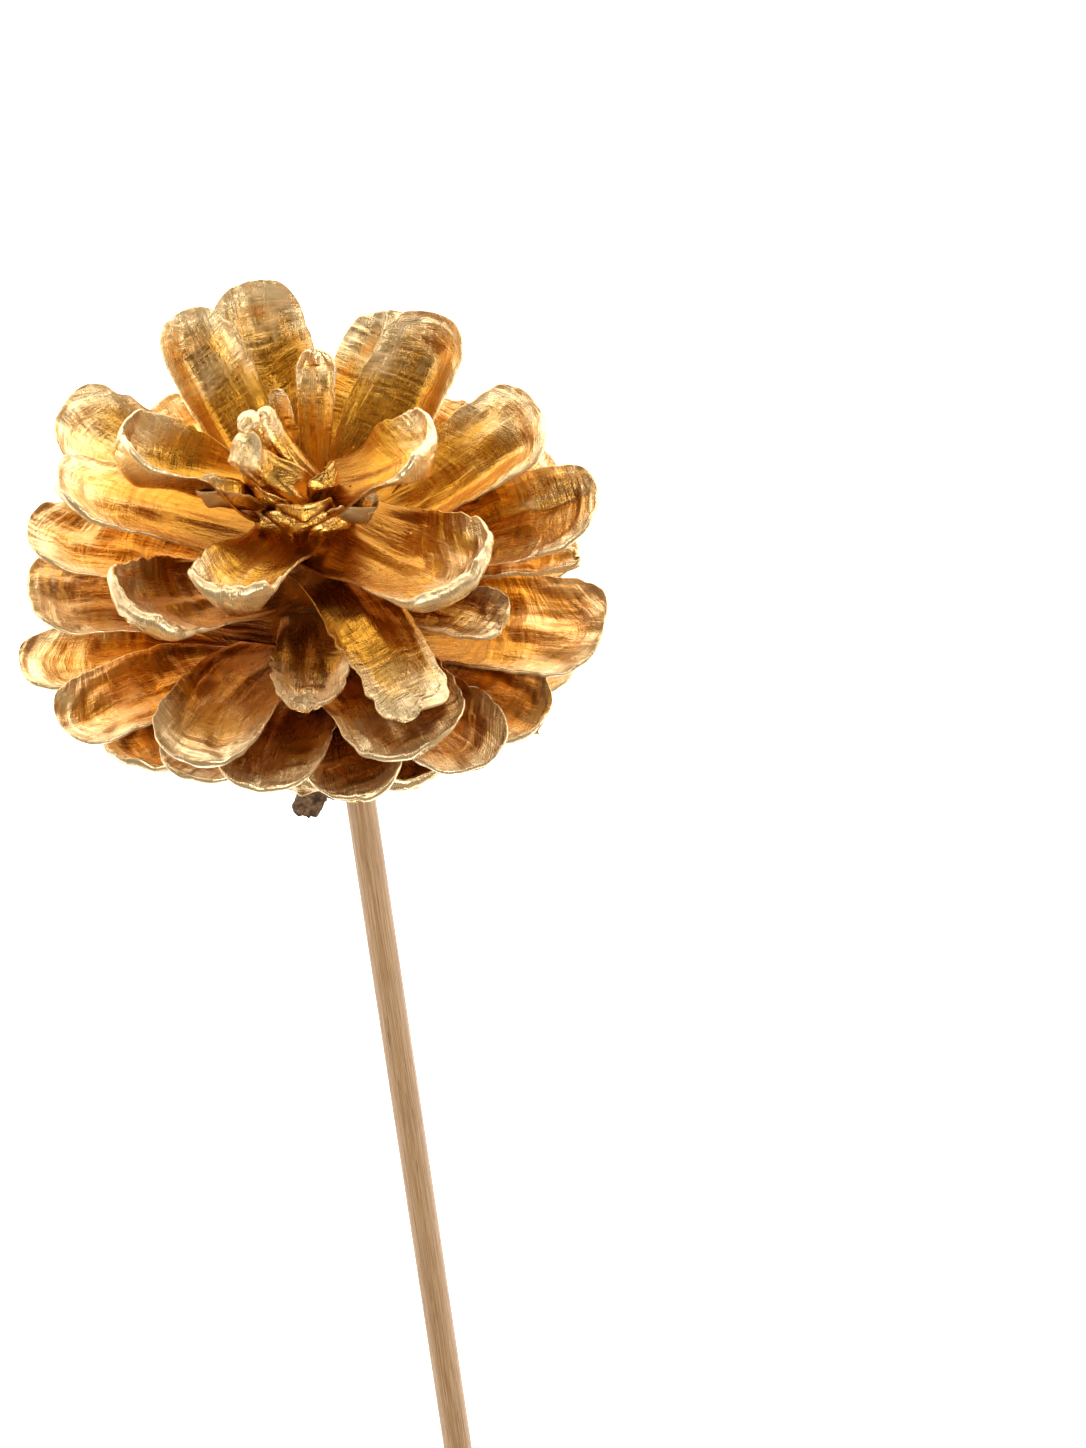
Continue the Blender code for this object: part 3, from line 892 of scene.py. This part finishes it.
def gilded_scale(settings):
    """Gold paint on a woody scale.

    The paint is warm gold over the open face. Painted shade turns it orange brown down in the cone, and a
    pale painted highlight lies on the rims, the crests and the outer part. It leaves dark specks near the
    tips, and shows the grain as fine streaks.
    """
    sheet = Finish("gilded scale")
    along, inner, rim = sheet.noted("along"), sheet.noted("inner"), sheet.noted("rim")
    inset, detail = sheet.noted("inset"), sheet.noted("detail")
    grain = sheet.noted("grain", vector=True)
    streaks = sheet.noise(sheet.stretched(grain, (1.0, 0.09, 1.0)), 2.6, 4.0, 0.6, 0.4)
    clouds = sheet.noise(grain, 0.16, 3.0, 0.6, 0.3)
    brushed = sheet.noise(sheet.stretched(grain, (1.0, 0.16, 1.0)), 0.9, 3.0, 0.6, 0.8)

    # Painted shade: the colour darkens from gold over the open face to deep gold over the inner half, and to
    # the darkest gold at the root, down in the cone
    open_face = (along + (clouds - 0.5) * 0.5 + (streaks - 0.5) * 0.25).between(0.55, 1.05)
    root_shade_fade = (along + (clouds - 0.5) * 0.3 + (streaks - 0.5) * 0.3).between(0.1, 0.55)
    colour = sheet.blend(root_shade_fade, settings.root_shade_gold, settings.deep)
    colour = sheet.blend(open_face, colour, settings.gold)
    # Painted highlight: pale gold on the rims, along the border near the tip, over the outer part and on the
    # crests of the detail
    near_edge = 1.0 - inset.between(0.1, 2.4)
    painted_outer_highlight = (along + (clouds - 0.5) * 0.6 + (brushed - 0.5) * 0.4).between(0.62, 1.0)
    lip = (near_edge * along.between(0.5, 0.9) * 0.75 + rim).clamped()
    pale = (lip + painted_outer_highlight * 0.65 + (detail * 0.6 + brushed - 0.6) * 0.45).clamped()
    colour = sheet.blend(pale * along.between(0.15, 0.7), colour, settings.pale)
    outer = (1.0 - inner) * (1.0 - rim)
    colour = sheet.blend(outer * 0.35, colour, settings.gold)
    speck_noise = sheet.noise(sheet.stretched(grain, (1.0, 0.6, 1.0)), 1.7, 3.0, 0.7)
    specks = speck_noise.between(0.69, 0.74) * along.between(0.55, 0.9)
    worn = specks * 0.75
    colour = sheet.blend(worn, colour, settings.bare)

    roughness = settings.roughness + (clouds - 0.5) * 0.16 + (streaks - 0.5) * 0.1 + worn * 0.25
    pimples = 1.0 - sheet.cells(sheet.stretched(grain, (1.0, 0.8, 1.0)), 0.55).between(0.0, 0.13)
    satin = sheet.noise(sheet.place(), 5.0, 3.0, 0.6)
    arched = sheet.stretched(sheet.noted("feather", vector=True), (0.3, 1.5, 1.0))
    folds = sheet.noise(arched, 1.0, 4.0, 0.66, 0.4) * along.between(0.2, 0.6)
    height = streaks * 0.7 + brushed * 0.6 + folds * 2.2 + pimples * 0.6 + satin * 0.2
    return sheet.finish(
        Base_Color=colour, Metallic=1.0 - worn * 0.65 - lip * 0.3, Roughness=roughness,
        Normal=sheet.bump(height, settings.bump_depth))


def core_wood(settings):
    """Dark brown wood with streaks of stray gold paint, which hardly reached its foot."""
    sheet = Finish("core wood")
    place = sheet.place()
    fibres = sheet.noise(sheet.stretched(place, (1.0, 0.25, 1.0)), 1.1, 4.0, 0.6)
    spray = sheet.noise(place, 0.35, 3.0, 0.6)
    above_foot = sheet.noted("level").between(-1.0, 7.0)
    painted = (spray + (fibres - 0.5) * 0.5).between(0.2, 0.42) * (0.25 + above_foot * 0.75)
    colour = sheet.blend(fibres, settings.wood_dark, settings.wood_light)
    colour = sheet.blend(painted, colour, settings.stray_gold)
    return sheet.finish(
        Base_Color=colour, Metallic=painted * 0.8, Roughness=0.75 - painted * 0.3,
        Normal=sheet.bump(fibres, 0.0004))


def stalk_bark(settings):
    """Rough dark bark with pale broken fibres."""
    sheet = Finish("stalk bark")
    place = sheet.place()
    crust = sheet.noise(place, 0.9, 5.0, 0.7)
    flakes = sheet.cells(place, 1.1)
    colour = sheet.blend(crust.between(0.35, 0.68), settings.bark_dark, settings.bark_light)
    return sheet.finish(
        Base_Color=colour, Roughness=0.85 + (crust - 0.5) * 0.2,
        Normal=sheet.bump(crust * 0.8 + flakes * 0.5, 0.0006))


def bamboo(settings):
    """Split bamboo: tan, with fine fibres along the stick, darker strands and short dark flecks."""
    sheet = Finish("bamboo")
    strand = sheet.noted("strand", vector=True)
    fibres = sheet.noise(sheet.stretched(strand, (1.0, 0.03, 1.0)), 3.2, 4.0, 0.65, 0.15)
    bands = sheet.noise(sheet.stretched(strand, (1.0, 0.012, 1.0)), 0.9, 3.0, 0.6)
    stains = sheet.noise(sheet.stretched(strand, (1.0, 0.35, 1.0)), 0.12, 3.0, 0.6)
    colour = sheet.blend(fibres.between(0.38, 0.6), settings.fibre_dark, settings.fibre_light)
    colour = sheet.blend(bands.between(0.48, 0.66) * 0.6, colour, settings.fibre_dark)
    colour = sheet.blend(stains.between(0.5, 0.75) * 0.4, colour, settings.stain)
    fleck_noise = sheet.noise(sheet.stretched(strand, (1.0, 0.1, 1.0)), 1.6, 2.0, 0.5)
    flecks = fleck_noise.between(0.66, 0.72)
    colour = sheet.blend(flecks * 0.75, colour, settings.fleck)
    return sheet.finish(
        Base_Color=colour, Roughness=0.52 + (fibres - 0.5) * 0.2,
        Normal=sheet.bump(fibres * 0.8 + bands * 0.4, 0.00012))


# Settings --------------------------------------------------------------------------------------------


def length_property(name, description, default):
    """A length in metres that the user may change."""
    return bpy.props.FloatProperty(
        name=name, description=description, unit="LENGTH", precision=5, default=default)


def colour_property(name, description, default):
    """A colour that the user may change."""
    return bpy.props.FloatVectorProperty(
        name=name, description=description, subtype="COLOR", size=3, min=0.0, max=1.0, default=default)


class GiltSettings(bpy.types.PropertyGroup):
    """The gold paint and the relief of the scales."""

    # Pale gold is a painted highlight on the rims, crests and outer parts
    pale: colour_property("Pale gold", "Paint on the rims and crests", (0.98, 0.76, 0.42))
    gold: colour_property("Gold", "Paint over the open faces", (0.83, 0.51, 0.155))
    # Deep gold and the root's gold are painted shade, darker towards the root of each scale
    deep: colour_property("Deep gold", "Paint over the inner half", (0.68, 0.325, 0.035))
    root_shade_gold: colour_property("Thin gold", "Thin paint down in the cone", (0.4, 0.17, 0.02))
    bare: colour_property("Bare scale", "Wood that the paint missed", (0.1, 0.045, 0.018))
    roughness: bpy.props.FloatProperty(
        name="Roughness", description="How satin the paint is", default=0.265, min=0.05, max=1.0)
    bump_depth: length_property("Streak depth", "Depth of the finest streaks", 0.0001)
    wrinkle_depth: length_property("Wrinkle depth", "Depth of the lengthwise wrinkles", 0.00007)
    dent_depth: length_property("Dent depth", "Depth of the crumpled outer half", 0.0003)
    fold_depth: length_property("Fold depth", "Depth of the arched folds across the outer half", 0.00012)
    spacing: length_property("Spacing", "Distance between the points of a scale's surface", 0.00028)


class WoodSettings(bpy.types.PropertyGroup):
    """The core, the stump and the stick."""

    wood_dark: colour_property("Dark wood", "Core wood in its grooves", (0.045, 0.02, 0.01))
    wood_light: colour_property("Light wood", "Core wood on its fibres", (0.16, 0.075, 0.03))
    stray_gold: colour_property("Stray gold", "Paint that reached the core", (0.5, 0.26, 0.06))
    bark_dark: colour_property("Dark bark", "Bark in its cracks", (0.05, 0.028, 0.016))
    bark_light: colour_property("Light bark", "Bark on its flakes", (0.34, 0.2, 0.1))
    fibre_light: colour_property("Light fibre", "Bamboo between its dark strands", (0.68, 0.46, 0.25))
    fibre_dark: colour_property("Dark fibre", "Dark strands of the bamboo", (0.42, 0.24, 0.115))
    stain: colour_property("Stain", "Duller stretches of the stick", (0.48, 0.29, 0.16))
    fleck: colour_property("Fleck", "Short dark flecks in the bamboo", (0.2, 0.1, 0.05))


class StageSettings(bpy.types.PropertyGroup):
    """The floor, the lights and the camera."""

    floor: colour_property("Floor", "The plain pale floor", (0.6, 0.6, 0.6))
    # Painted falloff: the floor's colour away from the pool of light, darker and warmer
    shaded_far_floor: colour_property("Far floor", "The floor away from the cone", (0.42, 0.3, 0.18))
    near_light: colour_property("Near light", "Light through the floor round the cone", (1.0, 1.0, 1.0))
    far_light: colour_property("Far light", "Light through the floor away from it", (0.05, 0.03, 0.012))
    glow: bpy.props.FloatProperty(
        name="Floor glow", description="Light that comes up through the floor", default=2.0, min=0.0)
    room: colour_property("Room", "Colour of the dim room all round", (1.0, 0.6, 0.22))
    sky: bpy.props.FloatProperty(
        name="Room light", description="Brightness of the warm dim room all round", default=0.15, min=0.0)
    softbox: bpy.props.FloatProperty(
        name="Softboxes", description="Power of the soft lights", default=1.0, min=0.0)
    tilt: bpy.props.FloatProperty(
        name="Tilt", description="How far the cone's tip leans towards the camera", subtype="ANGLE",
        default=math.radians(45.0))
    roll: bpy.props.FloatProperty(
        name="Roll", description="How far the camera is turned about its view", subtype="ANGLE",
        default=math.radians(7.0))
    distance: length_property("Distance", "From the camera to the cone's base", 0.9)
    lens: bpy.props.FloatProperty(
        name="Lens", description="Focal length", default=179.0, unit="CAMERA")
    aside: length_property("Aside", "How far the camera stands to the right of the cone's base", 0.024625)
    above: length_property("Above", "How far the camera stands above the cone's base", 0.00525)


# Operators -------------------------------------------------------------------------------------------


class PINECONE_OT_add_scales(bpy.types.Operator):
    """Adds the gilded scales"""

    bl_idname = "pinecone.add_scales"
    bl_label = "Scales"

    def execute(self, context):
        settings = context.scene.pinecone_gilt
        finish = gilded_scale(settings)
        for scale in all_scales():
            grid, values = scale.surface(settings)
            points, faces = closed_scale(grid)
            name = f"gilded_scale_{scale.number:02d}"
            mesh = make_mesh(name, laid_down(points), faces)
            note_values(mesh, with_ends(values, laced=True))
            add_piece(name, mesh, finish, f"scale_{scale.number:02d}")
        return {"FINISHED"}


class PINECONE_OT_add_bud(bpy.types.Operator):
    """Adds the bud of undeveloped scales at the tip"""

    bl_idname = "pinecone.add_bud"
    bl_label = "Bud"

    def execute(self, context):
        settings = context.scene.pinecone_gilt
        surfaces = []
        for index, shape in enumerate(BUD_SCALES):
            grid, values = Scale(BUD_SCALE_SEED + index, **BUD_USUAL, **shape).surface(settings)
            # More painted shade than on an open scale, with a fainter pale rim highlight and a narrower pale
            # painted border
            values.update(along=0.6 * values["along"], rim=0.3 * values["rim"], inset=values["inset"] + 0.8)
            surfaces.append((grid, values))
        for index, line in enumerate(BUD_FINGERS):
            surfaces.append(bud_finger(line, Unevenness(FINGER_SEED + index)))
        points, faces, values = joined(surfaces)
        mesh = make_mesh("gilded_bud", laid_down(points), faces)
        note_values(mesh, values)
        finish = bpy.data.materials.get("gilded scale") or gilded_scale(settings)
        add_piece("gilded_bud", mesh, finish, "apex_bud")
        return {"FINISHED"}


class PINECONE_OT_add_core(bpy.types.Operator):
    """Adds the woody core with the hole for the stick"""

    bl_idname = "pinecone.add_core"
    bl_label = "Core"

    def execute(self, context):
        grid = core_grid()
        points, faces = closed_tube(grid)
        mesh = make_mesh("carved_core", laid_down(points), faces)
        note_values(mesh, with_ends({"level": grid[..., 2:]}))
        add_piece("carved_core", mesh, core_wood(context.scene.pinecone_wood), "core")
        return {"FINISHED"}


class PINECONE_OT_add_stick(bpy.types.Operator):
    """Adds the bamboo stick"""

    bl_idname = "pinecone.add_stick"
    bl_label = "Stick"

    def execute(self, context):
        grid, strand = stick_grid()
        points, faces = closed_tube(grid)
        mesh = make_mesh("bamboo_stick", laid_down(points), faces)
        note_values(mesh, with_ends({"strand": strand}))
        add_piece("bamboo_stick", mesh, bamboo(context.scene.pinecone_wood), "stick")
        return {"FINISHED"}


class PINECONE_OT_add_stump(bpy.types.Operator):
    """Adds the broken stump of the stalk"""

    bl_idname = "pinecone.add_stump"
    bl_label = "Stump"

    def execute(self, context):
        points, faces = closed_tube(stump_grid())
        mesh = make_mesh("broken_stump", laid_down(points), faces)
        finish = stalk_bark(context.scene.pinecone_wood)
        add_piece("broken_stump", mesh, finish, "stalk_stump")
        return {"FINISHED"}


class PINECONE_OT_set_stage(bpy.types.Operator):
    """Adds the floor, the soft lights and the camera"""

    bl_idname = "pinecone.set_stage"
    bl_label = "Stage"

    def view_axes(self, settings):
        """The camera's right, up and backward directions, from the cone's tilt and the camera's roll."""
        lean, roll = settings.tilt, settings.roll
        upright = Vector((-math.sin(lean), 0.0, math.cos(lean)))
        beside = Vector((0.0, 1.0, 0.0))
        right = beside * math.cos(roll) - upright * math.sin(roll)
        up = beside * math.sin(roll) + upright * math.cos(roll)
        back = Vector((math.cos(lean), 0.0, math.sin(lean)))
        turn = lying()
        return turn @ right, turn @ up, turn @ back

    def add_floor(self, settings):
        """A wide plain floor that the cone lies on: bright where light comes up through it, dim further out.

        The pool of light fades with the distance from its middle, and the floor's own colour is painted to
        follow it:
        pale in the pool, darker and warmer further out.
        """
        corners = ((-1.0, -1.0), (1.0, -1.0), (1.0, 1.0), (-1.0, 1.0))
        points = np.array([(x * FLOOR_REACH, y * FLOOR_REACH, 0.0) for x, y in corners])
        mesh = make_mesh("floor", points, (np.array(((0, 1, 2, 3),)),))
        sheet = Finish("floor")
        operation = {"operation": "SUBTRACT"}
        middle = sheet.node("ShaderNodeVectorMath", operation, {0: sheet.place(), 1: GLOW_MIDDLE})
        away = sheet.stretched(middle, (1.0 / GLOW_REACH, 1.0 / GLOW_REACH, 0.0))
        pool = sheet.node("ShaderNodeTexGradient", {"gradient_type": "SPHERICAL"}, {"Vector": away})
        near = pool.between(GLOW_STARTS, GLOW_FULL)
        light = sheet.blend(near, settings.far_light, settings.near_light)
        # Painted light: the floor's colour is pale in the pool and darker and warmer away from it
        floor_colour_with_painted_pool = sheet.blend(near, settings.shaded_far_floor, settings.floor)
        mesh.materials.append(sheet.finish(
            Base_Color=floor_colour_with_painted_pool, Roughness=0.9, Emission_Color=light, Emission_Strength=settings.glow))
        floor = bpy.data.objects.new("floor", mesh)
        bpy.context.scene.collection.objects.link(floor)

    def add_softbox(self, name, place, target, size, power):
        """A square soft light that faces the cone."""
        lamp = bpy.data.lights.new(name, "AREA")
        lamp.shape = "SQUARE"
        lamp.size = size
        lamp.energy = power
        light = bpy.data.objects.new(name, lamp)
        light.location = place
        light.rotation_mode = "QUATERNION"
        light.rotation_quaternion = (place - target).to_track_quat("Z", "Y")
        bpy.context.scene.collection.objects.link(light)

    def execute(self, context):
        settings = context.scene.pinecone_stage
        scene = context.scene
        right, up, back = self.view_axes(settings)
        base = cone_base()
        camera = bpy.data.objects.new("camera", bpy.data.cameras.new("camera"))
        camera.data.lens = settings.lens
        camera.data.sensor_width = 36.0
        camera.data.clip_start = 0.01
        camera.location = base + right * settings.aside + up * settings.above + back * settings.distance
        camera.rotation_mode = "QUATERNION"
        camera.rotation_quaternion = Matrix((right, up, back)).transposed().to_quaternion()
        scene.collection.objects.link(camera)
        scene.camera = camera

        self.add_floor(settings)
        target = base + back * TARGET_FORWARD
        for name, (offset, size, power) in SOFTBOXES.items():
            place = target + right * offset[0] + up * offset[1] + back * offset[2]
            self.add_softbox(name, place, target, size, power * settings.softbox)

        world = bpy.data.worlds.new("studio")
        world.use_nodes = True
        background = world.node_tree.nodes["Background"]
        background.inputs["Color"].default_value = (*settings.room, 1.0)
        background.inputs["Strength"].default_value = settings.sky
        scene.world = world
        scene.view_settings.view_transform = "Standard"
        return {"FINISHED"}


class PINECONE_PT_panel(bpy.types.Panel):
    """Lists the steps that build the cone"""

    bl_idname = "PINECONE_PT_panel"
    bl_label = "Pine cone"
    bl_space_type = "VIEW_3D"
    bl_region_type = "UI"
    bl_category = "Pine cone"

    def draw(self, context):
        for step in STEPS:
            self.layout.operator(step.bl_idname)


STEPS = (
    PINECONE_OT_add_core,
    PINECONE_OT_add_scales,
    PINECONE_OT_add_bud,
    PINECONE_OT_add_stick,
    PINECONE_OT_add_stump,
    PINECONE_OT_set_stage,
)
GROUPS = {"pinecone_gilt": GiltSettings, "pinecone_wood": WoodSettings, "pinecone_stage": StageSettings}


def register():
    """Registers the settings, the steps and the panel."""
    for cls in (*GROUPS.values(), *STEPS, PINECONE_PT_panel):
        bpy.utils.register_class(cls)
    for name, group in GROUPS.items():
        setattr(bpy.types.Scene, name, bpy.props.PointerProperty(type=group))


def unregister():
    """Takes everything out again."""
    for name in GROUPS:
        delattr(bpy.types.Scene, name)
    for cls in (PINECONE_PT_panel, *reversed(STEPS), *reversed(GROUPS.values())):
        bpy.utils.unregister_class(cls)


def main():
    """Builds the whole cone and its stage."""
    register()
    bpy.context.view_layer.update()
    bpy.ops.pinecone.add_core()
    bpy.ops.pinecone.add_scales()
    bpy.ops.pinecone.add_bud()
    bpy.ops.pinecone.add_stick()
    bpy.ops.pinecone.add_stump()
    bpy.ops.pinecone.set_stage()


if __name__ == "__main__":
    main()
